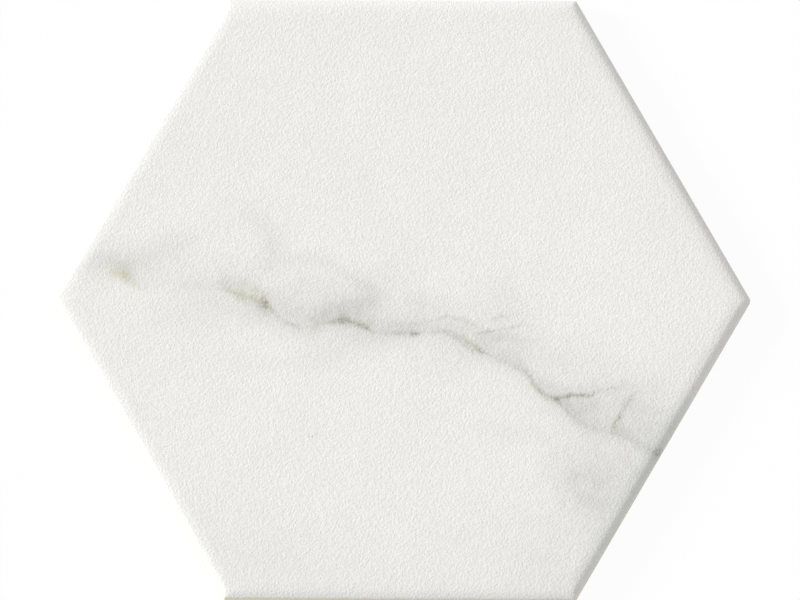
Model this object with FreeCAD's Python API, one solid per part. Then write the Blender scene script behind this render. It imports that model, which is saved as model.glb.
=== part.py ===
import FreeCAD, Part
import math
import os

from FreeCAD import Vector

# A hexagon floor tile: one dry-pressed, fired piece whose face falls away to a
# soft pillowed edge all round, with a shallow honeycomb key on its back.
# Millimetres and degrees. The origin is the centre of the back, +Z points up
# out of the walked-on face, two corners lie on the X axis, and two sides are
# square to the Y axis.

# Body
FLAT_TO_FLAT = 230.0       # between two parallel sides
THICKNESS = 9.0            # back to the flat middle of the face
CORNER_RADIUS = 0.8        # the six upright corners, seen from above

# Pillowed edge of the face, from the flat middle outwards
ROLL_WIDTH = 3.4           # where the face first, barely, starts to fall
ROLL_SLOPE = 8.0           # slope where the roll meets the shoulder
SHOULDER_WIDTH = 1.4       # the quicker turn down to the bevel
BEVEL_SLOPE = 24.0         # slope of the straight bevel
BEVEL_WIDTH = 1.8          # from the shoulder to the line of the wall
ARRIS_RADIUS = 1.8         # round between the bevel and the wall
BACK_CHAMFER = 0.7         # 45 degree edge between the wall and the back

# Honeycomb key pressed into the back
KEY_RINGS = 4              # rings of pockets around the middle one
KEY_DEPTH = 0.7
KEY_DRAFT = 35.0           # lean of the pocket walls, from upright
KEY_RIB = 2.2              # between two pockets, on the back
KEY_BORDER = 9.0           # unbroken land inside the back chamfer

# Worked out from the sizes above
INRADIUS = FLAT_TO_FLAT / 2
HALF_CORNER = math.radians(30)
REACH = FLAT_TO_FLAT       # past every corner, so that crossed bars overlap fully


def fall(degrees):
    """Run and drop, for a unit radius, of an arc that starts level."""
    angle = math.radians(degrees)
    return math.sin(angle), 1 - math.cos(angle)


def arc_from(start, radius, slope_in, slope_out):
    """Arc that falls from a (y, z) start, its slope growing from one to the other."""
    run_in, drop_in = fall(slope_in)

    def point_at(slope):
        run, drop = fall(slope)
        return (start[0] + radius * (run - run_in), start[1] - radius * (drop - drop_in))

    middle = point_at((slope_in + slope_out) / 2)
    end = point_at(slope_out)
    edge = Part.Arc(on_section(start), on_section(middle), on_section(end)).toShape()
    return edge, end


def on_section(point):
    """Place a (y, z) point on the plane that the sections are drawn on."""
    return Vector(0, point[0], point[1])


def line(start, end):
    return Part.makeLine(on_section(start), on_section(end))


def tile_section():
    """Section through the tile, square to two of its sides."""
    roll_run = fall(ROLL_SLOPE)[0]
    bevel_run = fall(BEVEL_SLOPE)[0]
    bevel_drop_rate = math.tan(math.radians(BEVEL_SLOPE))

    pillow_start = (INRADIUS - BEVEL_WIDTH - SHOULDER_WIDTH - ROLL_WIDTH, THICKNESS)
    roll, roll_end = arc_from(pillow_start, ROLL_WIDTH / roll_run, 0, ROLL_SLOPE)
    shoulder_radius = SHOULDER_WIDTH / (bevel_run - roll_run)
    shoulder, shoulder_end = arc_from(roll_end, shoulder_radius, ROLL_SLOPE, BEVEL_SLOPE)

    # The arris turns from the bevel to the upright wall, and reaches its line.
    arris_start_y = INRADIUS - ARRIS_RADIUS * (1 - bevel_run)
    arris_start_z = shoulder_end[1] - (arris_start_y - shoulder_end[0]) * bevel_drop_rate
    arris_start = (arris_start_y, arris_start_z)
    arris, arris_end = arc_from(arris_start, ARRIS_RADIUS, BEVEL_SLOPE, 90)

    wall_foot = (INRADIUS, BACK_CHAMFER)
    back_edge = (INRADIUS - BACK_CHAMFER, 0)
    side = [
        roll,
        shoulder,
        line(shoulder_end, arris_start),
        arris,
        line(arris_end, wall_foot),
        line(wall_foot, back_edge),
    ]
    other_side = [edge.mirror(Vector(0, 0, 0), Vector(0, 1, 0)) for edge in side]
    face_line = line((-pillow_start[0], THICKNESS), pillow_start)
    back_line = line((-back_edge[0], 0), back_edge)
    loop = Part.sortEdges(side + other_side + [face_line, back_line])[0]
    return Part.Face(Part.Wire(loop))


def hexagon_with_sides(section):
    """What three like bars share where they cross: a hexagon with this section on all sides."""
    bar = section.extrude(Vector(2 * REACH, 0, 0))
    bar.translate(Vector(-REACH, 0, 0))
    shared = bar
    for turn in (60, 120):
        crossing = bar.copy()
        crossing.rotate(Vector(0, 0, 0), Vector(0, 0, 1), turn)
        shared = shared.common(crossing)
    return shared


def upright_hexagon():
    """Hexagonal prism the size of the tile, with its six upright corners rounded."""
    corner_distance = INRADIUS / math.cos(HALF_CORNER)
    corners = [
        Vector(corner_distance, 0, 0),
        Vector(corner_distance / 2, INRADIUS, 0),
        Vector(-corner_distance / 2, INRADIUS, 0),
        Vector(-corner_distance, 0, 0),
        Vector(-corner_distance / 2, -INRADIUS, 0),
        Vector(corner_distance / 2, -INRADIUS, 0),
    ]
    outline = Part.makePolygon(corners + corners[:1])
    prism = Part.Face(outline).extrude(Vector(0, 0, THICKNESS))
    upright = [edge for edge in prism.Edges if edge.BoundBox.ZLength > THICKNESS / 2]
    return prism.makeFillet(CORNER_RADIUS, upright)


def key_pitch():
    """Distance between pocket centres that fills the back up to its border land."""
    land_inradius = INRADIUS - BACK_CHAMFER - KEY_BORDER
    half_rib_at_corner = KEY_RIB / 2 / math.cos(HALF_CORNER)
    rows_to_land = KEY_RINGS * math.cos(HALF_CORNER) + 0.5 / math.cos(HALF_CORNER)
    return (land_inradius + half_rib_at_corner) / rows_to_land


def key_pocket(width):
    """One pocket as a solid that runs past the back by its own depth, flats facing its neighbours."""
    lean = KEY_DEPTH * math.tan(math.radians(KEY_DRAFT))
    mouth = width / 2 + lean
    floor = width / 2 - lean
    corners = [(-mouth, -KEY_DEPTH), (mouth, -KEY_DEPTH), (floor, KEY_DEPTH), (-floor, KEY_DEPTH)]
    outline = Part.makePolygon([on_section(corner) for corner in corners + corners[:1]])
    pocket = hexagon_with_sides(Part.Face(outline))
    pocket.rotate(Vector(0, 0, 0), Vector(0, 0, 1), 30)
    return pocket


def honeycomb_key():
    """All the pockets, in rings around the middle of the back."""
    pitch = key_pitch()
    pocket = key_pocket(pitch - KEY_RIB)
    row_step = pitch * math.cos(HALF_CORNER)
    pockets = []
    for row in range(-KEY_RINGS, KEY_RINGS + 1):
        for column in range(-KEY_RINGS, KEY_RINGS + 1):
            if abs(row + column) <= KEY_RINGS:
                centre = Vector(pitch * (column + row / 2), row_step * row, 0)
                pockets.append(pocket.translated(centre))
    return Part.makeCompound(pockets)


def hexagon_tile():
    pillowed = hexagon_with_sides(tile_section())
    body = pillowed.common(upright_hexagon())
    return body.cut(honeycomb_key()).Solids[0]


os.makedirs("parts", exist_ok=True)
hexagon_tile().exportStep("parts/hexagon_tile.step")
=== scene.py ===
import math

import bmesh
import bpy
from mathutils import Euler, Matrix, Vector


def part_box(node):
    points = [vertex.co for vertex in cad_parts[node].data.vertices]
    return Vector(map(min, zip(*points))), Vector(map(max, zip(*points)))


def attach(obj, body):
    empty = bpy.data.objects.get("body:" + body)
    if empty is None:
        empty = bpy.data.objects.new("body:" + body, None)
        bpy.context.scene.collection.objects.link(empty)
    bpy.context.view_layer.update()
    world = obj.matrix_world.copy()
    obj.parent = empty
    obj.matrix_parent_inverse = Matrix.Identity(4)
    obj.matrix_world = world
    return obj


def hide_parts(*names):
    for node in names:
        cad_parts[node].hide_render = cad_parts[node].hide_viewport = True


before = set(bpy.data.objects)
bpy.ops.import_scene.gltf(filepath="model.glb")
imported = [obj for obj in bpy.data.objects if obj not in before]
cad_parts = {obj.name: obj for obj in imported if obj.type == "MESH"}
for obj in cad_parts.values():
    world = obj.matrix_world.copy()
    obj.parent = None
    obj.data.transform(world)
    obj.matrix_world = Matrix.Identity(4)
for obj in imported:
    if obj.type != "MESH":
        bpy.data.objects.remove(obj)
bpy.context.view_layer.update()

# A pillowed hexagon floor tile of porcelain, glazed matte white with a grey marble vein.
# Lengths are metres in the model and millimetres in the glaze's drawing.
MM = 0.001

# The pressed body, with the sizes of the solid that it stands for
lowest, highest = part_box("hexagon_tile")
INRADIUS = (highest.y - lowest.y) / 2
THICKNESS = highest.z
CORNER_RADIUS = 0.8 * MM
ROLL_WIDTH = 3.4 * MM
ROLL_SLOPE = math.radians(8)
SHOULDER_WIDTH = 1.4 * MM
BEVEL_SLOPE = math.radians(24)
BEVEL_WIDTH = 1.8 * MM
ARRIS_RADIUS = 1.8 * MM
BACK_CHAMFER = 0.7 * MM
KEY_RINGS = 4
KEY_DEPTH = 0.7 * MM
KEY_DRAFT = math.radians(35)
KEY_RIB = 2.2 * MM
KEY_BORDER = 9.0 * MM

# How finely each part of the section is divided
CORNER_STEPS = 4
ARRIS_STEPS = 6
BEVEL_STEPS = 1
SHOULDER_STEPS = 4
ROLL_STEPS = 5
SIDE_CUTS = 95
SMOOTH_ANGLE = math.radians(30)

# What pressing and firing do to the plain shape
MITRE_SOFTNESS = 9.0 * MM      # reach of the blend where two pillowed sides meet
MITRE_RUN_OUT = 6.5 * MM       # from the arris to where the blend has its full reach
UNDULATION = 0.03 * MM         # slow waves of the pressed face
UNDULATION_LENGTH = 14.0 * MM
WALL_EDGE_BAND = 0.3 * MM      # strip of the wall that turns with the arris
KEY_LIP = 0.15 * MM            # softened edge of each pocket of the key

PILLOW_WIDTH = ROLL_WIDTH + SHOULDER_WIDTH + BEVEL_WIDTH
HALF_CORNER = math.radians(30)
WALL_SLOPE = math.radians(90)

# How close counts as the same when faces and edges are picked
SAME_HEIGHT = 0.0001 * MM      # for the two ends of a level edge
SAME_PLACE = 0.01 * MM         # for rings and for points that are merged
SQUARE_ON = 0.99999            # for the upward share of a level face's normal


# The shape

def fall(slope):
    """Run and drop, for a unit radius, of an arc that starts level."""
    return math.sin(slope), 1 - math.cos(slope)


def pillow_height(inset):
    """Height of the pillowed face, this far in from the line of the wall."""
    roll_run, roll_drop = fall(ROLL_SLOPE)
    roll_radius = ROLL_WIDTH / roll_run
    shoulder_radius = SHOULDER_WIDTH / (fall(BEVEL_SLOPE)[0] - roll_run)
    shoulder_drop = fall(BEVEL_SLOPE)[1] - roll_drop
    past_flat = max(PILLOW_WIDTH - inset, 0)
    past_roll = past_flat - ROLL_WIDTH
    past_shoulder = past_roll - SHOULDER_WIDTH
    if past_roll <= 0:
        return THICKNESS - roll_radius * fall(math.asin(past_flat / roll_radius))[1]
    height = THICKNESS - roll_radius * roll_drop
    if past_shoulder <= 0:
        slope = math.asin(roll_run + past_roll / shoulder_radius)
        return height - shoulder_radius * (fall(slope)[1] - roll_drop)
    return height - shoulder_radius * shoulder_drop - past_shoulder * math.tan(BEVEL_SLOPE)


def arris_ring(slope):
    """Inset and height of a point of the arris, where it has this slope."""
    bevel_run, bevel_drop = fall(BEVEL_SLOPE)
    run, drop = fall(slope)
    start_height = pillow_height(ARRIS_RADIUS * (1 - bevel_run))
    return ARRIS_RADIUS * (1 - run), start_height - ARRIS_RADIUS * (drop - bevel_drop)


def arris_rings():
    """Inset and height of each ring of the arris, from the wall up to the bevel."""
    step = (WALL_SLOPE - BEVEL_SLOPE) / ARRIS_STEPS
    return [arris_ring(WALL_SLOPE - step * count) for count in range(ARRIS_STEPS + 1)]


def wall_top():
    """Height at which the upright wall ends and the arris starts."""
    return arris_ring(WALL_SLOPE)[1]


def pillow_rings():
    """Inset and height of each ring of the face, from above the arris to the flat middle."""
    insets = [arris_ring(BEVEL_SLOPE)[0]]
    for width, steps in ((BEVEL_WIDTH - insets[0], BEVEL_STEPS),
                         (SHOULDER_WIDTH, SHOULDER_STEPS), (ROLL_WIDTH, ROLL_STEPS)):
        start = insets[-1]
        insets += [start + width * (count + 1) / steps for count in range(steps)]
    return [(inset, pillow_height(inset)) for inset in insets]


def start_piece(name):
    """Take the primitive that was just added as a new piece, placed in its own mesh."""
    piece = bpy.context.active_object
    piece.name = name
    piece.data.name = name
    bpy.ops.object.transform_apply(location=True, rotation=True, scale=True)
    return piece


def select(piece, kind, wanted):
    """In edit mode, select only the faces, edges or vertices that pass a test."""
    bpy.ops.mesh.select_mode(type=kind)
    bpy.ops.mesh.select_all(action="DESELECT")
    mesh = bmesh.from_edit_mesh(piece.data)
    elements = {"VERT": mesh.verts, "EDGE": mesh.edges, "FACE": mesh.faces}[kind]
    for element in elements:
        if wanted(element):
            element.select_set(True)
    mesh.select_flush_mode()
    bmesh.update_edit_mesh(piece.data)


def is_level(edge):
    return abs(edge.verts[0].co.z - edge.verts[1].co.z) < SAME_HEIGHT


def is_upright(edge):
    return abs(edge.verts[0].co.z - edge.verts[1].co.z) > edge.calc_length() / 2


def is_top(face):
    return face.normal.z > SQUARE_ON


def is_back(face):
    return face.normal.z < -SQUARE_ON


def inset_rings(rings):
    """Inset the selected face through (inset, height) rings, from the first to the last."""
    for (inset, height), (next_inset, next_height) in zip(rings, rings[1:]):
        bpy.ops.mesh.inset(thickness=next_inset - inset, depth=next_height - height)


def press_wall(piece):
    """Round the six upright corners, then chamfer the rim of the back."""
    select(piece, "EDGE", is_upright)
    bpy.ops.mesh.bevel(offset=CORNER_RADIUS * math.tan(HALF_CORNER), segments=CORNER_STEPS)
    select(piece, "FACE", is_back)
    bpy.ops.mesh.inset(thickness=BACK_CHAMFER, depth=BACK_CHAMFER)


def square_up_corners(piece, inset, height):
    """Run the corner rounds out at this ring, so that the pillowed sides above meet in mitres."""
    corner_distance = (INRADIUS - inset) / math.cos(HALF_CORNER)

    def is_corner_chord(edge):
        at_this_ring = is_level(edge) and abs(edge.verts[0].co.z - height) < SAME_PLACE
        return at_this_ring and edge.calc_length() < CORNER_RADIUS

    select(piece, "EDGE", is_corner_chord)
    bpy.ops.mesh.merge(type="COLLAPSE")
    mesh = bmesh.from_edit_mesh(piece.data)
    for vertex in mesh.verts:
        if vertex.select:
            vertex.co.xy *= corner_distance / vertex.co.xy.length
    bmesh.update_edit_mesh(piece.data)


def press_face(piece):
    """Turn the arris over, then raise the pillowed edge ring by ring up to the flat middle."""
    rings = arris_rings() + pillow_rings()[1:]
    # The corner rounds run out where the rings come further in than their radius.
    rounded = sum(inset < CORNER_RADIUS for inset, height in rings)
    select(piece, "FACE", is_top)
    inset_rings(rings[:rounded])
    square_up_corners(piece, *rings[rounded - 1])
    select(piece, "FACE", is_top)
    inset_rings(rings[rounded - 1:])
    select(piece, "FACE", is_top)
    bpy.ops.mesh.poke()

    def is_side_of_ring(edge):
        above_wall = edge.verts[0].co.z > wall_top() - SAME_PLACE
        return above_wall and is_level(edge) and edge.calc_length() > CORNER_RADIUS

    select(piece, "EDGE", is_side_of_ring)
    bpy.ops.mesh.subdivide(number_cuts=SIDE_CUTS)
    bpy.ops.mesh.select_all(action="SELECT")
    bpy.ops.mesh.bisect(plane_co=(0, 0, wall_top() - WALL_EDGE_BAND), plane_no=(0, 0, 1))


def side_distances(place):
    """How far a place lies in from each of the six sides, nearest first."""
    turns = [math.radians(30 + 60 * side) for side in range(6)]
    return sorted(INRADIUS - place.x * math.cos(turn) - place.y * math.sin(turn) for turn in turns)


def soften_mitres(piece):
    """Blend the pillowed sides into each other round the corners, more so away from the arris."""
    arris_inset = arris_ring(BEVEL_SLOPE)[0]
    for vertex in piece.data.vertices:
        nearest, second = side_distances(vertex.co)[:2]
        if arris_inset < nearest < 2 * PILLOW_WIDTH and vertex.co.z > pillow_height(0):
            reach = MITRE_SOFTNESS * min((nearest - arris_inset) / MITRE_RUN_OUT, 1)
            overlap = max(reach - (second - nearest), 0)
            if overlap > 0:
                vertex.co.z = pillow_height(nearest - overlap ** 2 / (4 * reach))


def let_face_undulate(piece):
    """Give the pressed face the slow, very shallow waves that glaze shows up."""
    middle = piece.vertex_groups.new(name="flat_middle")
    for vertex in piece.data.vertices:
        inset = side_distances(vertex.co)[0]
        if vertex.co.z > THICKNESS / 2 and inset > BEVEL_WIDTH:
            weight = min((inset - BEVEL_WIDTH) / (2 * PILLOW_WIDTH), 1)
            middle.add([vertex.index], weight, "REPLACE")
    waves = bpy.data.textures.new("slow_waves", "CLOUDS")
    waves.noise_scale = UNDULATION_LENGTH
    waves.noise_depth = 1
    displace = piece.modifiers.new("face_waves", "DISPLACE")
    displace.texture = waves
    displace.texture_coords = "LOCAL"
    displace.direction = "Z"
    displace.mid_level = 1
    displace.strength = UNDULATION
    displace.vertex_group = middle.name
    bpy.ops.object.modifier_apply(modifier=displace.name)


def key_pitch():
    """Distance between pocket centres that fills the back up to its border land."""
    land_inradius = INRADIUS - BACK_CHAMFER - KEY_BORDER
    half_rib_at_corner = KEY_RIB / 2 / math.cos(HALF_CORNER)
    rows_to_land = KEY_RINGS * math.cos(HALF_CORNER) + 0.5 / math.cos(HALF_CORNER)
    return (land_inradius + half_rib_at_corner) / rows_to_land


def key_places():
    """Centres of the pockets, in rings around the middle of the back."""
    pitch = key_pitch()
    rows = range(-KEY_RINGS, KEY_RINGS + 1)
    return [
        (pitch * (column + row / 2), pitch * math.cos(HALF_CORNER) * row)
        for row in rows for column in rows if abs(row + column) <= KEY_RINGS
    ]


def press_key(piece):
    """Lay a honeycomb of cells in the back, sink a pocket into each and fill the land around it."""
    select(piece, "FACE", is_back)
    bpy.ops.mesh.delete(type="ONLY_FACE")
    cell_radius = key_pitch() / 2 / math.cos(HALF_CORNER)
    for x, y in key_places():
        bpy.ops.mesh.primitive_circle_add(vertices=6, radius=cell_radius, fill_type="NGON",
                                          location=(x, y, 0), rotation=(math.pi, 0, 0))
    select(piece, "VERT", lambda vertex: abs(vertex.co.z) < SAME_PLACE)
    bpy.ops.mesh.remove_doubles(threshold=SAME_PLACE)
    select(piece, "FACE", is_back)
    draft_run = (KEY_DEPTH - KEY_LIP) * math.tan(KEY_DRAFT)
    # Width and depth of each step down: the land, two bends of the lip, the wall, and its foot
    sinking = ((KEY_RIB / 2 - KEY_LIP, 0), (KEY_LIP, KEY_LIP / 4), (KEY_LIP / 2, KEY_LIP / 2),
               (draft_run - KEY_LIP, KEY_DEPTH - KEY_LIP), (KEY_LIP, KEY_LIP / 4))
    for width, depth in sinking:
        bpy.ops.mesh.inset(thickness=width, depth=-depth, use_individual=True)
    select(piece, "EDGE", lambda edge: edge.is_boundary)
    bpy.ops.mesh.fill()


def fired_tile():
    """The whole tile as one mesh: wall, key, pillowed face and its small unevenness."""
    blank_height = wall_top() - BACK_CHAMFER
    bpy.ops.mesh.primitive_cylinder_add(
        vertices=6, radius=INRADIUS / math.cos(HALF_CORNER), depth=blank_height,
        location=(0, 0, BACK_CHAMFER + blank_height / 2), rotation=(0, 0, HALF_CORNER))
    piece = start_piece("fired_tile")
    bpy.ops.object.mode_set(mode="EDIT")
    press_wall(piece)
    press_key(piece)
    press_face(piece)
    bpy.ops.object.mode_set(mode="OBJECT")
    soften_mitres(piece)
    let_face_undulate(piece)
    bpy.ops.object.shade_smooth_by_angle(angle=SMOOTH_ANGLE)
    return piece


# Node helpers for the materials

def node(tree, kind, settings=None, **inputs):
    """Add a node, set its settings, and set or link its inputs by name or by number."""
    new = tree.nodes.new(kind)
    for name, value in (settings or {}).items():
        setattr(new, name, value)
    for name, value in inputs.items():
        by_number = name[0] == "i" and name[1:].isdigit()
        socket = new.inputs[int(name[1:]) if by_number else name]
        if isinstance(value, bpy.types.NodeSocket):
            tree.links.new(value, socket)
        else:
            socket.default_value = value
    return new


def calculate(tree, operation, *values):
    """Output of a Math node."""
    numbered = {f"i{count}": value for count, value in enumerate(values)}
    return node(tree, "ShaderNodeMath", {"operation": operation}, **numbered).outputs[0]


def remap(tree, value, low, high, to_low=0.0, to_high=1.0, smooth=False):
    """Value between two limits, moved to two others and held there past them."""
    kind = "SMOOTHSTEP" if smooth else "LINEAR"
    return node(tree, "ShaderNodeMapRange", {"interpolation_type": kind}, i0=value, i1=low, i2=high,
                i3=to_low, i4=to_high).outputs[0]


def noise(tree, place, size, detail=0.0, roughness=0.5, output="Fac"):
    """Soft noise whose blotches are about this many millimetres across."""
    return node(tree, "ShaderNodeTexNoise", {}, Vector=place, Scale=1 / size, Detail=detail,
                Roughness=roughness).outputs[output]


def spread(tree, pattern, low, high, swing=0.2):
    """Noise, which seldom strays further than its swing from a half, spread between two values."""
    return remap(tree, pattern, 0.5 - swing, 0.5 + swing, low, high)


def shifted(tree, place, wander, reach):
    """Place moved by a coloured noise, up to about this far to each side."""
    centred = node(tree, "ShaderNodeVectorMath", {"operation": "SUBTRACT"}, i0=wander,
                   i1=(0.5, 0.5, 0.5))
    scaled = node(tree, "ShaderNodeVectorMath", {"operation": "SCALE"}, i0=centred.outputs[0],
                  Scale=2 * reach)
    return node(tree, "ShaderNodeVectorMath", {"operation": "ADD"}, i0=place,
                i1=scaled.outputs[0]).outputs[0]


def grey(tree, value):
    """Colour whose red, green and blue are all this value."""
    return node(tree, "ShaderNodeCombineColor", {}, i0=value, i1=value, i2=value).outputs[0]


def tinted(tree, colour, tint, factor=1.0):
    """Colour multiplied by a tint."""
    mixed = node(tree, "ShaderNodeMix", {"data_type": "RGBA", "blend_type": "MULTIPLY"},
                 i0=factor, i6=colour, i7=tint)
    return mixed.outputs[2]


# The strokes of the print, in millimetres on the face: +x to the right, +y away from the viewer.
# A station is (place along, place across, half width, strength). A stroke runs along x or y.

VEIN_START = (
    (-69, 3, 0.8, 0), (-66, 2.3, 1, 0.05), (-63.3, 1.5, 1.1, 0.08), (-60.7, 0.5, 1.2, 0.09),
    (-58, 0, 1.1, 0.08), (-55.7, -0.8, 1.1, 0.13), (-53.8, -1.9, 1.3, 0.17), (-52.5, -2.3, 1.6, 0.25),
    (-51.4, -2.7, 1.7, 0.34), (-50.2, -3.6, 1.1, 0.2), (-48.9, -5.2, 0.8, 0.18), (-47, -6.7, 0.7, 0.08),
    (-45.4, -8, 0.7, 0.09), (-43.9, -9.4, 0.6, 0.11), (-41.6, -10.5, 0.6, 0.15),
    (-39.4, -11.3, 0.6, 0.1), (-37.8, -11.6, 0.6, 0.04), (-35.2, -12, 0.7, 0.03),
    (-32.2, -11.4, 0.7, 0.01), (-29.5, -10.1, 0.7, 0.07), (-27.2, -9.8, 0.7, 0.12),
    (-25, -9.6, 0.8, 0.15), (-23.5, -9.3, 1, 0.22), (-21.6, -9.2, 1.3, 0.34), (-20, -9.3, 1.3, 0.33),
    (-18.5, -10, 1, 0.28), (-16.6, -10.4, 0.9, 0.21), (-14.7, -10.9, 0.9, 0.25),
    (-13.2, -11.4, 0.9, 0.3), (-12.1, -12.3, 0.8, 0.22), (-10.5, -13.5, 0.6, 0.08), (-8.3, -14, 0.6, 0),
)
VEIN_MIDDLE = (
    (-12.1, -12.9, 0.6, 0), (-9, -13.8, 0.6, 0.04), (-5.6, -14, 0.6, 0.02), (-3, -13.9, 0.6, 0.1),
    (-0.7, -13.9, 0.7, 0.2), (1.2, -13.8, 0.6, 0.13), (3.1, -13.8, 0.6, 0.12), (4.6, -14.1, 0.9, 0.34),
    (6.1, -14.1, 0.9, 0.34), (7.7, -13.9, 0.6, 0.12), (9.9, -13.4, 0.6, 0.07), (12.6, -13.5, 0.6, 0.12),
    (15.2, -13.1, 0.6, 0.1), (17.9, -13.1, 0.7, 0.11), (20.2, -13.7, 0.8, 0.11),
    (22.1, -15.1, 0.8, 0.13), (24, -16, 1.1, 0.13), (25.9, -17.1, 1.3, 0.16), (28.1, -18.9, 1.2, 0.18),
    (30, -20.2, 1.1, 0.27), (31.6, -21.2, 0.8, 0.2), (33.5, -21.9, 0.8, 0.06), (35.7, -22.9, 0.8, 0),
)
VEIN_END = (
    (31.9, -21.4, 0.8, 0), (34.2, -22.5, 1, 0.05), (36.9, -23.4, 1.1, 0.05), (39.9, -24.8, 1.2, 0.06),
    (42.6, -26.1, 1.1, 0.06), (44.8, -27.2, 1, 0.06), (46.7, -28.1, 0.8, 0.12), (47.9, -29, 0.9, 0.2),
    (48.8, -30.3, 1.3, 0.17), (50, -32, 1.4, 0.15), (51.3, -34.1, 1.1, 0.11), (53.2, -35.8, 0.9, 0.23),
    (54.7, -37, 0.9, 0.15), (56.6, -37.9, 0.8, 0.16), (58.1, -38.5, 0.8, 0.2), (59.6, -39.2, 0.9, 0.32),
    (60.8, -40.4, 0.7, 0.16), (62.3, -42.5, 0.9, 0.05), (64.6, -44.8, 1.1, 0.05),
    (67.2, -47.1, 1.2, 0.05), (70.3, -49, 1.2, 0.04), (73.7, -50.5, 1.1, 0.04), (77.1, -51, 1, 0.02),
    (80.5, -51.6, 0.9, 0.04), (83.5, -52.7, 1.1, 0.05), (86.9, -53.9, 1.4, 0.03),
    (90, -55.4, 1.3, 0.03), (92.2, -56.7, 1.3, 0.06), (94.3, -57.9, 1.4, 0.15), (96, -59, 1.4, 0.19),
    (97.3, -59.3, 1.5, 0.26), (98.7, -59.4, 1.5, 0.22), (100.9, -59.9, 1.5, 0.12),
)
BRANCH = (
    (58.1, -38.9, 0.6, 0), (60, -38.5, 0.6, 0.28), (61.9, -38.1, 0.6, 0.28), (63.8, -37.8, 0.9, 0.36),
    (65.7, -37.4, 0.6, 0.28), (67.6, -37.4, 0.7, 0.28), (69.9, -37.6, 0.7, 0.32),
    (72.1, -37.5, 0.7, 0.28), (73.6, -36.7, 0.7, 0.28), (74.4, -35.8, 0.5, 0.16),
    (75.9, -35.7, 0.6, 0.06), (77.8, -35.4, 0.7, 0.06), (80.1, -34.6, 0.6, 0.09),
    (83.5, -34.2, 0.7, 0.05), (88, -33.6, 0.8, 0.03), (93, -33.2, 0.8, 0),
)
UPPER_THREAD = (
    (-5.2, -10.6, 0.9, 0), (-1.5, -10.4, 1.1, 0.04), (3.9, -10.1, 1, 0.05), (9.2, -9.9, 0.8, 0.03),
    (12.6, -8.8, 0.7, 0.05), (15.2, -8.2, 0.7, 0.1), (17.9, -7.4, 0.6, 0.12), (20.1, -8, 0.8, 0.1),
    (22.8, -8.5, 0.9, 0.11), (25.5, -9.5, 1, 0.11), (27.7, -10.4, 0.9, 0.09), (30, -11.6, 0.9, 0),
)
FINE_THREAD = (
    (27.4, -14.1, 0.5, 0), (29.6, -13.7, 0.5, 0.09), (31.9, -13.5, 0.6, 0.13), (34.2, -13.1, 0.7, 0.2),
    (35.7, -12.7, 0.5, 0.13), (38, -12.3, 0.5, 0.08), (40.3, -12.1, 0.5, 0.08),
    (42.1, -11.7, 0.6, 0.13), (44.4, -10.9, 0.5, 0.11), (46.7, -9.6, 0.6, 0.04), (48.6, -8.1, 0.6, 0),
)
FAINT_THREAD = (
    (32.7, -8.5, 0.6, 0), (34.9, -8.3, 0.6, 0.08), (36.5, -8.1, 0.7, 0.14), (38.3, -7.2, 0.7, 0.13),
    (40.2, -7.5, 0.6, 0.08), (42.1, -8.5, 0.5, 0),
)
LOWER_TWIN = (
    (16, -13.6, 0.7, 0), (18.3, -14.5, 0.9, 0.1), (20.9, -16, 1.1, 0.12), (23.6, -18.1, 1.1, 0.13),
    (26.6, -20.4, 1.1, 0.12), (29.7, -21.9, 0.8, 0.06), (32.7, -23.1, 0.7, 0),
)
SPECK = (
    (-35.4, -53.5, 0.8, 0), (-33.9, -53.3, 0.8, 0.07), (-32.4, -53, 0.7, 0.07), (-30.5, -52.4, 0.6, 0),
)
CROSS_VEIN = (
    (-53.1, 80.5, 0.8, 0), (-51.6, 81.2, 1.1, 0.08), (-50.1, 81.1, 1.1, 0.15), (-48.9, 80.8, 0.8, 0.24),
    (-47.4, 82.1, 0.8, 0.22), (-46, 83.1, 0.9, 0.3), (-44.7, 83.5, 0.8, 0.2), (-42.8, 84.5, 1.1, 0.17),
    (-40.5, 85.8, 1.3, 0.17), (-38.6, 86.9, 1.3, 0.17), (-37.4, 87.9, 1.1, 0.12),
    (-35.9, 89.9, 1.1, 0.07), (-34, 93, 1.3, 0),
)
VEIN_SHADE = (
    (-70, 3, 3, 0), (-65, 2, 4.5, 0.05), (-60.5, 0, 5.5, 0.06), (-56, -2, 6, 0.08),
    (-52.5, -4, 7, 0.08), (-48.5, -6.5, 7, 0.07), (-44, -10.5, 7.5, 0.07), (-39, -12, 8.5, 0.07),
    (-34, -12.5, 8.5, 0.08), (-29.5, -11.5, 9, 0.08), (-25, -10.5, 10, 0.08), (-21, -10, 10.5, 0.08),
    (-16.5, -11.5, 10.5, 0.08), (-12.5, -13, 10.5, 0.08), (-8.5, -14.5, 10, 0.07),
    (-3, -14.5, 10, 0.08), (2, -14.5, 10, 0.08), (7.5, -14, 9, 0.06), (12.5, -14, 5.5, 0.04),
    (18, -14, 4.5, 0.04), (22, -16, 4.5, 0.05), (28, -20, 5.5, 0.05), (32, -22, 6, 0.06),
    (37, -24, 7, 0.07), (42.5, -27, 7, 0.06), (48.5, -30, 7, 0.06), (51.5, -35, 7, 0.07),
    (55.5, -39, 7, 0.07), (59.5, -41, 6, 0.08), (63.5, -44, 6, 0.09), (67, -47, 7, 0.09),
    (72, -50, 7.5, 0.08), (77, -52, 8.5, 0.07), (83.5, -53.5, 8.5, 0.05), (90, -57, 9, 0.05),
    (95.5, -61.5, 10, 0.05), (99.5, -64.5, 10, 0.04),
)
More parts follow.
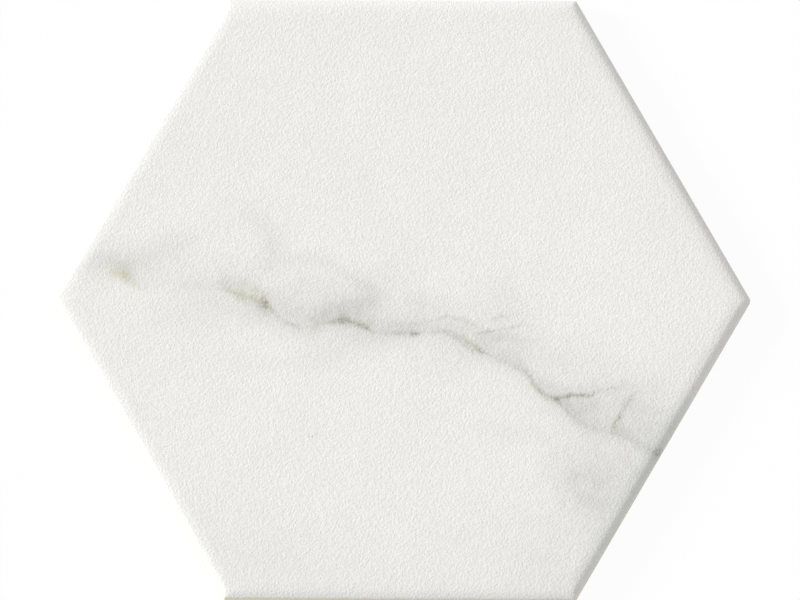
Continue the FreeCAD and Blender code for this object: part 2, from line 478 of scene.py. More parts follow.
VEIN_SKIRT = (
    (-67.5, 2.5, 2, 0), (-63.5, 1.5, 2.5, 0.03), (-59.5, 0.5, 2.5, 0.06), (-55.5, -1, 3.5, 0.08),
    (-52.5, -3.5, 4, 0.07), (-50, -5, 4, 0.07), (-47.5, -7, 2.5, 0.04), (-44, -10, 2, 0.03),
    (-39, -12, 1.5, 0.02), (-34, -12, 1.5, 0.005), (-29.5, -10.5, 2.5, 0.06), (-25, -10.5, 3, 0.07),
    (-21, -9.5, 3.5, 0.05), (-16.5, -11, 3.5, 0.08), (-12.5, -12.5, 3.5, 0.1), (-10, -13.5, 3, 0.07),
    (-5.5, -14, 2.5, 0.06), (-0.5, -14.5, 2.5, 0.06), (4, -14.5, 2.5, 0.05), (7.5, -14, 2.5, 0.04),
    (15, -13.5, 2, 0.025), (19, -14.5, 2.5, 0.05), (23, -16.5, 2.5, 0.06), (28, -20, 2.5, 0.04),
    (32, -21.5, 2.5, 0.05), (37, -23.5, 2.5, 0.05), (42.5, -26.5, 2.5, 0.06), (47, -28.5, 2.5, 0.06),
    (51, -33.5, 3, 0.06), (53.5, -37, 3.5, 0.08), (56.5, -39, 4, 0.08), (59.5, -40.5, 3.5, 0.07),
    (63.5, -43.5, 3.5, 0.07), (67, -46.5, 3, 0.06), (72, -49.5, 3, 0.05), (77, -51, 2.5, 0.045),
    (81.5, -52.5, 3, 0.045), (87, -54, 2.5, 0.045), (93, -57.5, 2.5, 0.03), (98.5, -59.5, 2.5, 0.03),
)
LEFT_CLOUD = (
    (-125, 10.5, 4, 0), (-119.5, 11.5, 4.5, 0.06), (-114, 13, 5, 0.11), (-108, 13, 5, 0.13),
    (-103, 13, 5, 0.12), (-98.5, 14.5, 4.5, 0.09), (-93, 16.5, 5.5, 0.07), (-85.5, 20, 5, 0.065),
    (-79.5, 22, 4, 0.04), (-74, 22.5, 3.5, 0),
)
LEFT_BAND = (
    (-102.5, 13, 4, 0), (-98, 10, 4.5, 0.06), (-93, 7, 4, 0.05), (-87, 4.5, 3.5, 0.05),
    (-81.5, 4.5, 3, 0.07), (-76, 4, 3.5, 0.08), (-71, 4, 3.5, 0.085), (-67, 5.5, 3, 0.11),
    (-62.5, 5.5, 3, 0.08), (-57.5, 6, 3, 0),
)
UNDER_START = (
    (-98.5, -6.5, 4.5, 0), (-91, -6.5, 5, 0.03), (-81.5, -5.5, 5.5, 0.045), (-72, -4.5, 5.5, 0.07),
    (-63.5, -3.5, 4.5, 0.09), (-55, -6.5, 4, 0.08), (-49, -8.5, 3, 0.04), (-43.5, -10.5, 3, 0),
)
HOOK = (
    (4, -57.5, 2.5, 0), (8, -54.5, 3, 0.04), (12.5, -51.5, 3.5, 0.04), (16, -49.5, 4, 0.045),
    (20.5, -48.5, 4, 0.06), (24.5, -50, 4, 0.06), (28.5, -53, 4, 0.05), (32, -56.5, 4, 0.04),
    (37.5, -60, 3.5, 0),
)
ARC = (
    (-52.5, 10.5, 2.5, 0), (-47.5, 13, 2.5, 0.04), (-42, 14.5, 2.5, 0.045), (-34, 15, 2.5, 0.045),
    (-28.5, 13.5, 2.5, 0.05), (-23.5, 11, 2.5, 0.055), (-19, 8, 3, 0.06), (-14.5, 4.5, 4, 0.06),
    (-8.5, 1, 4, 0),
)
INNER = (
    (-52.5, -4.5, 3, 0), (-47.5, -4, 5, 0.07), (-41.5, -5, 5.5, 0.09), (-36, -6, 5.5, 0.09),
    (-31, -7, 4, 0),
)
CREST = (
    (-35.5, -10, 2.5, 0), (-32, -8, 3.5, 0.12), (-28.5, -6.5, 4, 0.17), (-23.5, -5.5, 5, 0.18),
    (-19, -5, 5.5, 0.18), (-14.5, -3.5, 6, 0.18), (-10, -2, 5.5, 0.12), (-6, 1, 5, 0.05),
    (-2.5, 3, 4.5, 0),
)
BESIDE = (
    (-12, -5, 7.5, 0), (-7, -4.5, 8.5, 0.03), (-0.5, -2, 10, 0.03), (5.5, -1.5, 10, 0.035),
    (12, -5, 7, 0.03), (19, -8, 4.5, 0),
)
THREAD_FILL = (
    (-13.5, -9.5, 2, 0), (-10.5, -10.5, 2.5, 0.06), (-7.5, -11.5, 2.5, 0.06), (-3, -11.5, 2.5, 0.065),
    (1.5, -11.5, 2.5, 0.07), (7, -11.5, 2, 0.06), (12, -11, 2.5, 0.06), (19, -10.5, 2.5, 0.08),
    (24.5, -12, 2.5, 0.1), (29, -13.5, 2.5, 0.08), (32.5, -15, 2.5, 0),
)
SOFT_THREAD = (
    (29.5, -15, 1.5, 0), (32.5, -15, 1.5, 0.06), (35.5, -15, 1.5, 0.09), (38, -15, 1.5, 0.11),
    (40.5, -15, 1.5, 0.1), (43.5, -15, 1.5, 0.11), (46.5, -15.5, 1.5, 0.07), (49.5, -14, 1.5, 0),
)
ABOVE_MIDDLE = (
    (26.5, -14.5, 5.5, 0), (32.5, -11, 9, 0.045), (38, -8, 11.5, 0.065), (43, -9.5, 12, 0.065),
    (48, -15.5, 10.5, 0.055), (55, -22.5, 8.5, 0.055), (60.5, -25, 8.5, 0.06), (66.5, -26.5, 8.5, 0.05),
    (72, -27, 8.5, 0.045), (79.5, -28.5, 7.5, 0.035), (91, -31, 7.5, 0),
)
TRIANGLE = (
    (57, -38.5, 2, 0), (61.5, -40, 3, 0.09), (66.5, -40.5, 4, 0.15), (71.5, -42, 5, 0.15),
    (76, -41.5, 5.5, 0.1), (81.5, -44, 6.5, 0.07), (88, -44, 7, 0.08), (95, -45.5, 7, 0.075),
    (101.5, -48.5, 6, 0.05),
)
UNDER_MIDDLE = (
    (-66, -26, 2.5, 0), (-58.5, -26.5, 2.5, 0.025), (-49, -26.5, 2.5, 0.03), (-39.5, -25, 3, 0.035),
    (-32, -23.5, 4, 0.045), (-24.5, -20.5, 4, 0.05), (-17, -18.5, 4, 0.05), (-9.5, -17, 4, 0.04),
    (-2, -16.5, 3, 0),
)
UNDER_SPAN = (
    (0, -21.5, 4, 0), (9.5, -26, 5.5, 0.02), (17, -26, 5.5, 0.03), (24.5, -25, 4, 0.03),
    (32.5, -25, 2.5, 0),
)
LOW_CLOUD = (
    (49.5, -60.5, 6, 0), (56.5, -63, 8.5, 0.04), (62.5, -68, 10, 0.075), (70.5, -70, 12, 0.085),
    (78, -69, 13.5, 0.075), (85.5, -67.5, 13.5, 0.06), (95, -65.5, 13.5, 0.05),
)
LOW_STREAK = (
    (21, -50, 2.5, 0), (28.5, -50.5, 3, 0.02), (38, -51.5, 3.5, 0.03), (47.5, -52, 3.5, 0.03),
    (56.5, -53, 3, 0),
)
EDGE_HAZE = (
    (66.5, -102.5, 9.5, 0), (72, -93, 11.5, 0.03), (79, -78.5, 11.5, 0.035), (86, -66, 11.5, 0.035),
    (92, -55.5, 10.5, 0.02), (98.5, -44, 9, 0.02), (105.5, -32.5, 7.5, 0),
)
ABOVE_BRANCH = (
    (51, -33, 2.5, 0), (53.5, -34, 2.5, 0.06), (56.5, -35, 2.5, 0.08), (60, -35, 3, 0.06),
    (66.5, -35, 3, 0.06), (72, -35, 3, 0.06), (78, -35, 3, 0.06), (83.5, -35, 3.5, 0.07),
    (89, -34, 3.5, 0.06), (95, -33, 3.5, 0.05), (100.5, -33.5, 3.5, 0),
)
ABOVE_THREAD = (
    (2, -3.5, 4.5, 0), (9.5, -4.5, 4.5, 0.035), (17, -3.5, 4.5, 0.04), (24.5, -5, 4.5, 0.04),
    (32.5, -6.5, 4.5, 0),
)
ARC_FILL = (
    (-49.5, 4, 4.5, 0), (-41.5, 5, 5.5, 0.03), (-34, 4.5, 5.5, 0.05), (-26.5, 4.5, 4.5, 0.045),
    (-19, 5.5, 4.5, 0.02), (-7.5, 8, 4.5, 0.03), (0, 9.5, 4, 0),
)
UNDER_EDGE = (
    (-62.5, -8.5, 2.5, 0), (-57, -8, 2.5, 0.045), (-52.5, -8, 2.5, 0.03), (-47.5, -12, 3, 0.03),
    (-39.5, -16, 3, 0.03), (-30, -15.5, 3, 0.035), (-21, -15, 3, 0.03), (-13, -16, 3, 0),
)
LEFT_INK = (
    (-112.5, 11.5, 2.5, 0), (-109.5, 10.5, 2.5, 0.05), (-106.5, 10, 2.5, 0.09), (-104, 8.5, 3, 0.15),
    (-101.5, 7.5, 3, 0.13), (-99, 5, 2.5, 0.07), (-95.5, 3, 2.5, 0.04), (-93.5, 1.5, 2, 0),
)
BEND_SHADE = (
    (45, -28, 1, 0), (46.5, -30, 1, 0.08), (48.5, -32, 1.5, 0.11), (50, -33.5, 1.5, 0.07),
    (53, -37, 1, 0),
)
UNDER_BLOB = (
    (-63, -0.5, 1, 0), (-60.5, -1.5, 1.5, 0.06), (-57.5, -2.5, 1.5, 0.07), (-55, -4, 1.5, 0.09),
    (-53, -5.5, 1.5, 0.12), (-51, -6.5, 1.5, 0.09), (-48, -7.5, 1, 0),
)
CROSSING_SHADE = (
    (81, -48.5, 1.5, 0), (83, -49.5, 2, 0.08), (85.5, -51, 2, 0.09), (88, -53, 2, 0.05),
    (91.5, -56, 1.5, 0),
)
ABOVE_BLOB = (
    (-63.5, 4.5, 2.5, 0), (-59.5, 4, 2, 0.02), (-56.5, 4, 2.5, 0.06), (-53.5, 2.5, 2.5, 0.07),
    (-50, 1, 2.5, 0.08), (-48, 1, 2.5, 0.07), (-45.5, -0.5, 2.5, 0.03), (-43, -2.5, 2.5, 0),
)
SPOT_LOWEST = (
    (70, -81.5, 2.5, 0), (73, -81, 3.5, 0.06), (76.5, -80.5, 4, 0.05), (80.5, -79.5, 3.5, 0.04),
    (84.5, -80, 3, 0),
)
UNDER_KNOT = (
    (55, -40, 1.5, 0), (59, -42.5, 2.5, 0.035), (62, -43.5, 2.5, 0.08), (65.5, -47, 3, 0.065),
    (69, -51.5, 3.5, 0.055), (73, -54, 3, 0.035), (76.5, -55.5, 2.5, 0),
)
UNDER_BEND = (
    (9.5, -16, 2.5, 0), (13.5, -16, 2.5, 0.04), (17.5, -17, 2.5, 0.065), (21.5, -18.5, 2.5, 0.05),
    (24.5, -21, 2, 0.03), (27.5, -22.5, 1.5, 0),
)
UPPER_LEFT_HAZE = (
    (-95, 13, 4, 0), (-85.5, 12, 4.5, 0.03), (-76, 11.5, 4.5, 0.035), (-66.5, 10.5, 4.5, 0.035),
    (-57, 10.5, 4.5, 0.03), (-50, 12.5, 4.5, 0.03), (-43.5, 15.5, 4, 0),
)
# Darkens the face towards its bottom edge
DARKER_TOWARDS_BOTTOM = (
    (-94, -93.5, 17, 0.02), (-64, -110.5, 23, 0.045), (-26, -116, 23, 0.035), (12, -116, 23, 0.025),
    (46, -116, 23, 0.03), (76, -115.5, 23, 0.04),
)
RIGHT_HAZE = (
    (-112, 55, 19, 0.035), (-96.5, 63, 19, 0.045), (-77.5, 73.5, 18, 0.055), (-58.5, 85, 18, 0.055),
    (-43, 94, 19, 0.045), (-24, 114, 21, 0.03), (-1, 138.5, 24.5, 0.035), (37.5, 125, 21, 0.045),
    (76, 104.5, 19, 0.04), (103, 87, 19, 0.04), (118, 75.5, 19, 0.03),
)
BEHIND_STREAK = (
    (27.5, -16, 2, 0), (30.5, -17, 2.5, 0.055), (34, -18.5, 3, 0.05), (39, -20.5, 3.5, 0.05),
    (43.5, -22.5, 3.5, 0.06), (47, -25, 2.5, 0.045), (50, -27, 2.5, 0),
)
LOWER_SKIRT = (
    (-47.5, -9, 4, 0), (-39, -14.5, 4.5, 0.015), (-30, -15.5, 4.5, 0.015), (-21, -14.5, 5.5, 0.02),
    (-11.5, -16, 5.5, 0.02), (0, -16.5, 4.5, 0.025), (11.5, -16.5, 4.5, 0.02), (19, -18, 4.5, 0.025),
    (30.5, -23.5, 4.5, 0.03), (42, -29, 4.5, 0.03), (49.5, -35.5, 5.5, 0.035), (57, -42.5, 5.5, 0.035),
    (64.5, -48.5, 4.5, 0.03), (72, -53, 4, 0.02), (79.5, -55.5, 4, 0),
)
SPOT_LEFT = (
    (61.5, -72, 2, 0), (64, -71, 2.5, 0.05), (67, -69, 2.5, 0.08), (69.5, -67.5, 2.5, 0.08),
    (72, -66.5, 2.5, 0.04), (74.5, -66, 2, 0),
)
SPOT_RIGHT = (
    (72, -71.5, 2.5, 0), (75, -71, 2.5, 0.06), (77.5, -71, 2.5, 0.06), (80.5, -70.5, 2.5, 0),
)
SPOT_BELOW = (
    (65.5, -77.5, 2.5, 0), (68, -77, 2.5, 0.045), (70.5, -77.5, 2.5, 0.045), (73.5, -78.5, 2.5, 0),
)
OCHRE_LEFT = (
    (-111.2, 10, 1.1, 0), (-110, 9.4, 1.3, 0.4), (-108.9, 8.8, 1.5, 0.85), (-107, 8.4, 1.7, 0.95),
    (-105.1, 8.2, 1.8, 1), (-103.6, 7.7, 1.8, 0.95), (-102, 5.8, 1.7, 0.5), (-100.9, 4.2, 1.5, 0.45),
    (-98.6, 2.9, 1.4, 0.25), (-96.3, 1.8, 1.1, 0),
)
OCHRE_START = (
    (-68.6, 3.4, 1.1, 0), (-66, 2.4, 1.4, 0.35), (-63.3, 1.5, 1.5, 0.5), (-60.7, 0.4, 1.7, 0.7),
    (-58, -0.2, 1.6, 0.5), (-55.3, -1, 1.6, 0.6), (-53.1, -1.9, 1.7, 0.65), (-51.2, -2.7, 1.9, 0.9),
    (-49.6, -3.8, 1.5, 0.5), (-48.1, -5.4, 1.1, 0),
)
OCHRE_SPUR = (
    (1.1, -61, 1.1, 0), (3, -60.5, 1.1, 0.4), (4.6, -59.9, 1.1, 0.45), (6.1, -59.2, 0.9, 0.35),
    (7.7, -58.8, 0.9, 0),
)
OCHRE_MIDDLE = (
    (-32.5, -10.7, 0.9, 0), (-29.5, -10.1, 1, 0.4), (-25.3, -9.5, 1.1, 0.42), (-22.7, -8.5, 1.5, 0.4),
    (-20, -8.1, 1.7, 0.45), (-17.8, -9.7, 1.3, 0.6), (-14.7, -10.8, 1.2, 0.6), (-12.4, -11.9, 1.2, 0.5),
    (-10.2, -13.3, 0.9, 0),
)
OCHRE_STREAK = (
    (22.8, -14.3, 1, 0), (24.3, -15.4, 1.4, 0.5), (26.2, -17.2, 1.6, 0.62), (28.5, -18.9, 1.6, 0.56),
    (30, -20.2, 1.3, 0.35), (32.3, -21.5, 0.9, 0),
)
OCHRE_KNOT = (
    (48.6, -33, 1.1, 0), (50.9, -34.7, 1.3, 0.5), (53.2, -36.2, 1.2, 0.5), (55.5, -38.3, 1.1, 0.5),
    (57.7, -38.9, 1, 0.5), (60, -38.9, 1.1, 0.4), (63.8, -37.9, 0.9, 0.35), (68.3, -37.4, 0.9, 0.4),
    (72.1, -37.3, 0.9, 0.3), (74.4, -35.9, 0.9, 0),
)
OCHRE_FRINGE = (
    (-114.6, 10.7, 1.1, 0), (-112.3, 11.3, 1.3, 0.3), (-110, 12.1, 1.3, 0.35), (-107, 12.5, 1.1, 0.3),
    (-104, 11.9, 1.1, 0.25), (-102.1, 10.6, 1.1, 0.2), (-100.2, 9, 1.1, 0),
)
OCHRE_UPPER = (
    (-59.2, 4.2, 0.9, 0), (-57.6, 3.4, 1.1, 0.3), (-55.4, 2.5, 1.1, 0.3), (-53.1, 1.2, 1.1, 0.3),
    (-51.2, -0.4, 0.9, 0),
)
GREEN_EDGE = (
    (-102.4, 73.4, 3.4, 0), (-94.8, 77.5, 3.8, 0.5), (-85.2, 83.2, 4.2, 0.85), (-71.8, 90.7, 4.6, 0.85),
    (-60.3, 97.2, 5.7, 0.95), (-50.8, 102.8, 5.3, 0.95), (-41.2, 108.1, 4.6, 0.6),
    (-35.4, 111.2, 3.8, 0),
)
OCHRE_CROSSING = (
    (-52.7, 81.2, 1.3, 0), (-51.2, 81.4, 1.5, 0.3), (-49.7, 81.2, 1.5, 0.5), (-47.8, 81.4, 1.1, 0.35),
    (-45.9, 82.6, 1, 0.25), (-43.2, 84.3, 0.9, 0),
)

# What is drawn alike, and whether its places run along x or along y
LINES_ALONG_X = (VEIN_START, VEIN_MIDDLE, VEIN_END, BRANCH, UPPER_THREAD, FINE_THREAD,
                 FAINT_THREAD, LOWER_TWIN, SPECK)
LINES_ALONG_Y = (CROSS_VEIN,)
VEIN_CLOUDS_ALONG_X = (VEIN_SHADE, VEIN_SKIRT)
CLOUDS_ALONG_X = (LEFT_CLOUD, LEFT_BAND, UNDER_START, ARC, ARC_FILL, INNER, CREST, BESIDE,
                  THREAD_FILL, SOFT_THREAD, ABOVE_MIDDLE, TRIANGLE, UNDER_MIDDLE, UNDER_SPAN,
                  LOW_CLOUD, LOW_STREAK, EDGE_HAZE, ABOVE_BRANCH, ABOVE_THREAD, UNDER_EDGE,
                  LEFT_INK, BEND_SHADE, UNDER_BLOB, CROSSING_SHADE, ABOVE_BLOB, UNDER_KNOT,
                  UNDER_BEND, UPPER_LEFT_HAZE, BEHIND_STREAK, LOWER_SKIRT, DARKER_TOWARDS_BOTTOM,
                  SPOT_LEFT, SPOT_RIGHT, SPOT_BELOW, SPOT_LOWEST)
CLOUDS_ALONG_Y = (HOOK, RIGHT_HAZE)
STAINS_ALONG_X = (OCHRE_LEFT, OCHRE_FRINGE, OCHRE_START, OCHRE_UPPER, OCHRE_MIDDLE,
                  OCHRE_STREAK, OCHRE_KNOT)
STAINS_ALONG_Y = (OCHRE_SPUR, OCHRE_CROSSING)

STROKE_FADE = 0.7              # at its half width a stroke keeps e to the minus this, about a half
CRISP_LOWER_EDGE = 4.0         # how many times crisper the vein's own clouds end below it
LEAST_SPAN = 0.01              # keeps the division safe where a value never changes

# Noises, by size in millimetres, that make the drawing wander, and how far it is moved
SLOW_WANDER = {"size": 14.0, "detail": 1.0}
QUICK_WANDER = {"size": 3.0, "detail": 2.0}
RAGGED_WANDER = {"size": 1.2, "detail": 2.0}
CLOUD_SLOW_REACH = 1.5
CLOUD_QUICK_REACH = 1.2
VEIN_QUICK_REACH = 0.3
VEIN_RAGGED_REACH = 0.5

# Noises that make the strokes uneven, each with the least and the most it leaves of them
LINE_MOTTLE = {"size": 0.9, "detail": 1.0}
LINE_STRENGTHS = (0.3, 1.7)
CLOUD_MOTTLE = {"size": 5.0, "detail": 4.0, "roughness": 0.65}
CLOUD_STRENGTHS = (0.7, 1.3)

# A faint veil of grey over the whole face, and its own least and greatest darkness
VEIL = {"size": 16.0, "detail": 3.0, "roughness": 0.6}
VEIL_STRENGTHS = (0.0, 0.03)


def stroke(tree, along, across, stations, lower_edge=1.0):
    """Darkness of one stroke, drawn through its given stations. Its lower edge is this many times
    crisper than its upper.
    """
    places, *followed = zip(*stations)
    lows = [min(values) for values in followed]
    spans = [max(max(values) - low, LEAST_SPAN) for values, low in zip(followed, lows)]
    position = remap(tree, along, places[0], places[-1])
    curves = node(tree, "ShaderNodeRGBCurve", {}, i1=position)
    for curve, values, low, span in zip(curves.mapping.curves, followed, lows, spans):
        levels = [((place - places[0]) / (places[-1] - places[0]), (value - low) / span)
                  for place, value in zip(places, values)]
        curve.points[0].location, curve.points[1].location = levels[0], levels[-1]
        for level in levels[1:-1]:
            curve.points.new(*level)
    curves.mapping.update()
    followed_here = node(tree, "ShaderNodeVectorMath", {"operation": "MULTIPLY_ADD"},
                         i0=curves.outputs[0], i1=spans, i2=lows).outputs[0]
    centre, half_width, strength = node(tree, "ShaderNodeSeparateXYZ", {}, i0=followed_here).outputs

    relative = calculate(tree, "DIVIDE", calculate(tree, "SUBTRACT", across, centre), half_width)
    distance = calculate(tree, "MAXIMUM", relative, calculate(tree, "MULTIPLY", relative, -lower_edge))
    fading = calculate(tree, "MULTIPLY", distance, distance)
    profile = calculate(tree, "EXPONENT", calculate(tree, "MULTIPLY", fading, -STROKE_FADE))
    return calculate(tree, "MULTIPLY", profile, strength)


def overprinted(tree, darknesses):
    """Light that strokes printed over each other still let through."""
    passed = 1.0
    for darkness in darknesses:
        passed = calculate(tree, "MULTIPLY", passed, calculate(tree, "SUBTRACT", 1.0, darkness))
    return passed


def marble_print(tree, place):
    """The printed marble: light that its grey lets through, and the strengths of its two tints."""
    slow = noise(tree, place, **SLOW_WANDER, output="Color")
    quick = noise(tree, place, **QUICK_WANDER, output="Color")
    ragged = noise(tree, place, **RAGGED_WANDER, output="Color")
    cloud_place = shifted(tree, shifted(tree, place, slow, CLOUD_SLOW_REACH), quick, CLOUD_QUICK_REACH)
    vein_place = shifted(tree, shifted(tree, place, quick, VEIN_QUICK_REACH), ragged, VEIN_RAGGED_REACH)
    cloud_x, cloud_y, _ = node(tree, "ShaderNodeSeparateXYZ", {}, i0=cloud_place).outputs
    vein_x, vein_y, _ = node(tree, "ShaderNodeSeparateXYZ", {}, i0=vein_place).outputs

    def drawn(strokes, along, across, lower_edge=1.0):
        return [stroke(tree, along, across, stations, lower_edge) for stations in strokes]

    lines = drawn(LINES_ALONG_X, vein_x, vein_y) + drawn(LINES_ALONG_Y, vein_y, vein_x)
    clouds = drawn(VEIN_CLOUDS_ALONG_X, vein_x, vein_y, CRISP_LOWER_EDGE)
    clouds += drawn(CLOUDS_ALONG_X, cloud_x, cloud_y) + drawn(CLOUDS_ALONG_Y, cloud_y, cloud_x)

    line_mottle = spread(tree, noise(tree, place, **LINE_MOTTLE), *LINE_STRENGTHS)
    cloud_mottle = spread(tree, noise(tree, cloud_place, **CLOUD_MOTTLE), *CLOUD_STRENGTHS)
    lines = [calculate(tree, "MULTIPLY", line, line_mottle) for line in lines]
    clouds = [calculate(tree, "MULTIPLY", cloud, cloud_mottle) for cloud in clouds]
    veil = spread(tree, noise(tree, place, **VEIL), *VEIL_STRENGTHS)
    passed = overprinted(tree, lines + clouds + [veil])

    stains = drawn(STAINS_ALONG_X, vein_x, vein_y) + drawn(STAINS_ALONG_Y, vein_y, vein_x)
    stain = calculate(tree, "SUBTRACT", 1.0, overprinted(tree, stains))
    return passed, stain, stroke(tree, cloud_y, cloud_x, GREEN_EDGE)


# The glaze and the clay under it

PRINT_SHIFT = (-0.1, 0.5)      # how far the print was laid off the middle of the face, in mm
GLAZE_WHITE = (0.852, 0.843, 0.811, 1)
GLAZE_ROUGHNESS = 0.55
OCHRE_TINT = (0.92, 0.915, 0.76, 1)
GREEN_TINT = (0.972, 1, 0.985, 1)
PEBBLES = {"size": 0.78, "detail": 1.0}
PEBBLE_DEPTH = 0.182 * MM
PEBBLE_PAINTED_SHADE = 0.045           # painted shade: how much darker the colour is made in the hollows between the pebbles, and as much lighter on their tops

# The glaze's lower edge round the wall, in mm: its height, how that climbs for each mm along x
# and along y, how far it wavers up and down, and how far up and down the glaze thins out
GLAZE_EDGE = 6.6
GLAZE_EDGE_RISE = (-0.0045, -0.0059, 0)
EDGE_WAVER = {"size": 5.0, "detail": 2.0}
EDGE_WAVER_REACH = 0.25
EDGE_SOFTNESS = 0.35

CLAY = (0.80, 0.755, 0.61, 1)
CLAY_ROUGHNESS = 0.85
CLAY_SPECKLE = {"size": 0.5, "detail": 2.0}
CLAY_SPECKLE_SWING = 0.15
CLAY_SHADES = (0.92, 1.05)     # of the darkest and the palest speckle


def glazed_porcelain():
    """Matte, pebbled white glaze with its print, ending in a wavy line above the bare clay."""
    material = bpy.data.materials.new("glazed_porcelain")
    material.use_nodes = True
    tree = material.node_tree
    finish = tree.nodes["Principled BSDF"]
    place_in_metres = node(tree, "ShaderNodeTexCoord").outputs["Object"]
    place = node(tree, "ShaderNodeMapping", {}, Vector=place_in_metres, Scale=(1 / MM, 1 / MM, 1 / MM),
                 Location=(-PRINT_SHIFT[0], -PRINT_SHIFT[1], 0)).outputs[0]
    height = node(tree, "ShaderNodeSeparateXYZ", {}, i0=place).outputs[2]

    passed, stain, green = marble_print(tree, place)
    glaze = tinted(tree, tinted(tree, GLAZE_WHITE, grey(tree, passed)), OCHRE_TINT, stain)
    glaze = tinted(tree, glaze, GREEN_TINT, green)
    pebbles = noise(tree, place, **PEBBLES)
    # Painted shade and highlight: the glaze colour follows the pebbles' height, darker in their hollows
    # and lighter on their tops
    shade = spread(tree, pebbles, 1 - PEBBLE_PAINTED_SHADE, 1 + PEBBLE_PAINTED_SHADE)
    glaze = tinted(tree, glaze, grey(tree, shade))

    speckle = spread(tree, noise(tree, place, **CLAY_SPECKLE), *CLAY_SHADES, swing=CLAY_SPECKLE_SWING)
    clay = tinted(tree, CLAY, grey(tree, speckle))

    rise = node(tree, "ShaderNodeVectorMath", {"operation": "DOT_PRODUCT"}, i0=place,
                i1=GLAZE_EDGE_RISE).outputs["Value"]
    edge = spread(tree, noise(tree, place, **EDGE_WAVER), GLAZE_EDGE - EDGE_WAVER_REACH,
                  GLAZE_EDGE + EDGE_WAVER_REACH)
    above_edge = calculate(tree, "SUBTRACT", calculate(tree, "SUBTRACT", height, rise), edge)
    is_glazed = remap(tree, above_edge, -EDGE_SOFTNESS, EDGE_SOFTNESS, smooth=True)
    colour = node(tree, "ShaderNodeMix", {"data_type": "RGBA"}, i0=is_glazed, i6=clay, i7=glaze)
    tree.links.new(colour.outputs[2], finish.inputs["Base Color"])
    roughness = remap(tree, is_glazed, 0, 1, CLAY_ROUGHNESS, GLAZE_ROUGHNESS)
    tree.links.new(roughness, finish.inputs["Roughness"])

    relief = node(tree, "ShaderNodeBump", {}, Strength=1.0, Distance=PEBBLE_DEPTH, Height=pebbles)
    tree.links.new(relief.outputs[0], finish.inputs["Normal"])
    return material


# The studio

WHITE = (1, 1, 1, 1)
FLOOR_GAP = 0.1 * MM
FLOOR_INRADIUS = 15.0
FLOOR_LIP = 2.0 * MM           # how far the floor reaches under the tile
FLOOR_PAINT = (0.95, 0.95, 0.95, 1)
FLOOR_GLOW = 0.94              # share of plain white in what the eye sees of the floor
AMBIENT = 0.6
LAMP_AZIMUTH = math.radians(165.5)
LAMP_ELEVATION = math.radians(21.5)
LAMP_SPREAD = math.radians(15)
LAMP_LEVEL = 0.4               # how brightly it lights a level surface, where white is 1


def white_to_the_eye(tree):
    """1 for rays that see the floor or backdrop straight, or in gloss or glass."""
    path = node(tree, "ShaderNodeLightPath").outputs
    seen = calculate(tree, "MAXIMUM", path["Is Camera Ray"], path["Is Glossy Ray"])
    return calculate(tree, "MAXIMUM", seen, path["Is Transmission Ray"])


def floor_finish():
    """Pale floor that looks nearly white but keeps a soft shadow, and is clear from below."""
    material = bpy.data.materials.new("studio_floor")
    material.use_nodes = True
    tree = material.node_tree
    tree.nodes.clear()
    matte = node(tree, "ShaderNodeBsdfDiffuse", {}, Color=FLOOR_PAINT).outputs[0]
    glow = node(tree, "ShaderNodeEmission", {}, Color=WHITE).outputs[0]
    share = calculate(tree, "MULTIPLY", white_to_the_eye(tree), FLOOR_GLOW)
    lit = node(tree, "ShaderNodeMixShader", {}, i0=share, i1=matte, i2=glow).outputs[0]
    below = node(tree, "ShaderNodeNewGeometry").outputs["Backfacing"]
    clear = node(tree, "ShaderNodeBsdfTransparent").outputs[0]
    surface = node(tree, "ShaderNodeMixShader", {}, i0=below, i1=lit, i2=clear).outputs[0]
    node(tree, "ShaderNodeOutputMaterial", {}, Surface=surface)
    return material


def lay_floor():
    """Wide floor, open where the tile hides it, so that a view from below finds the back lit."""
    bpy.ops.object.select_all(action="DESELECT")
    bpy.ops.mesh.primitive_circle_add(vertices=6, radius=FLOOR_INRADIUS / math.cos(HALF_CORNER),
                                      fill_type="NGON", location=(0, 0, -FLOOR_GAP),
                                      rotation=(0, 0, HALF_CORNER))
    floor = start_piece("studio_floor")
    bpy.ops.object.mode_set(mode="EDIT")
    bpy.ops.mesh.inset(thickness=FLOOR_INRADIUS - (INRADIUS - FLOOR_LIP))
    bpy.ops.mesh.delete(type="FACE")
    bpy.ops.object.mode_set(mode="OBJECT")
    floor.data.materials.append(floor_finish())


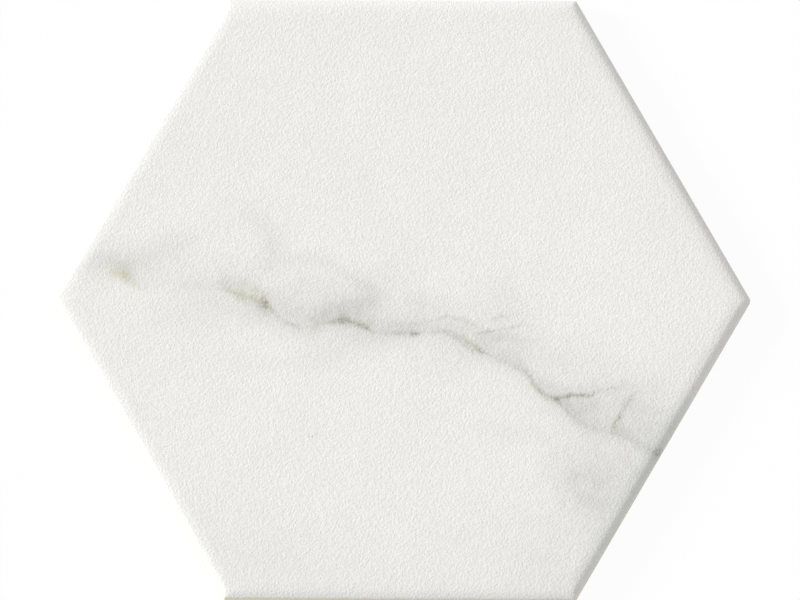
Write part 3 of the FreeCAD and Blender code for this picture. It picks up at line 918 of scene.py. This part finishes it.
def light_studio():
    world = bpy.data.worlds.new("studio_surround")
    bpy.context.scene.world = world
    world.use_nodes = True
    tree = world.node_tree
    tree.nodes.clear()
    soft = node(tree, "ShaderNodeBackground", {}, Color=WHITE, Strength=AMBIENT).outputs[0]
    white = node(tree, "ShaderNodeBackground", {}, Color=WHITE, Strength=1.0).outputs[0]
    surround = node(tree, "ShaderNodeMixShader", {}, i0=white_to_the_eye(tree), i1=soft, i2=white)
    node(tree, "ShaderNodeOutputWorld", {}, Surface=surround.outputs[0])

    lamp = bpy.data.lights.new("window_side_lamp", "SUN")
    lamp.energy = LAMP_LEVEL * math.pi / math.sin(LAMP_ELEVATION)
    lamp.angle = LAMP_SPREAD
    holder = bpy.data.objects.new("window_side_lamp", lamp)
    towards = Vector((math.cos(LAMP_AZIMUTH) * math.cos(LAMP_ELEVATION),
                      math.sin(LAMP_AZIMUTH) * math.cos(LAMP_ELEVATION), math.sin(LAMP_ELEVATION)))
    holder.rotation_euler = towards.to_track_quat("Z", "Y").to_euler()
    holder.location = towards
    bpy.context.scene.collection.objects.link(holder)


# The camera, as the tile was photographed: from far off, nearly square on, turned a hair

PICTURE_WIDTH = 800            # in pixels
PIXELS_PER_MM = 2.632
CAMERA_DISTANCE = 5.0
CAMERA_TILT = math.radians(8.5)
CAMERA_ROLL = math.radians(0.2)
CAMERA_AIM = Vector((-0.26 * MM, 0.66 * MM, 0))
SENSOR_WIDTH = 36.0


def set_camera():
    camera = bpy.data.cameras.new("camera")
    camera.sensor_width = SENSOR_WIDTH
    field = PICTURE_WIDTH / PIXELS_PER_MM * MM
    camera.lens = SENSOR_WIDTH * CAMERA_DISTANCE / field
    camera.clip_end = 4 * CAMERA_DISTANCE
    holder = bpy.data.objects.new("camera", camera)
    tilt = Euler((CAMERA_TILT, 0, 0)).to_quaternion()
    holder.location = CAMERA_AIM + tilt @ Vector((0, 0, CAMERA_DISTANCE))
    roll = Euler((0, 0, CAMERA_ROLL)).to_quaternion()
    holder.rotation_euler = (tilt @ roll).to_euler()
    bpy.context.scene.collection.objects.link(holder)
    bpy.context.scene.camera = holder


bpy.ops.object.select_all(action="DESELECT")
tile = fired_tile()
tile.data.materials.clear()
tile.data.materials.append(glazed_porcelain())
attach(tile, "root")
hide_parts("hexagon_tile")

lay_floor()
light_studio()
set_camera()
bpy.context.scene.view_settings.view_transform = "Standard"
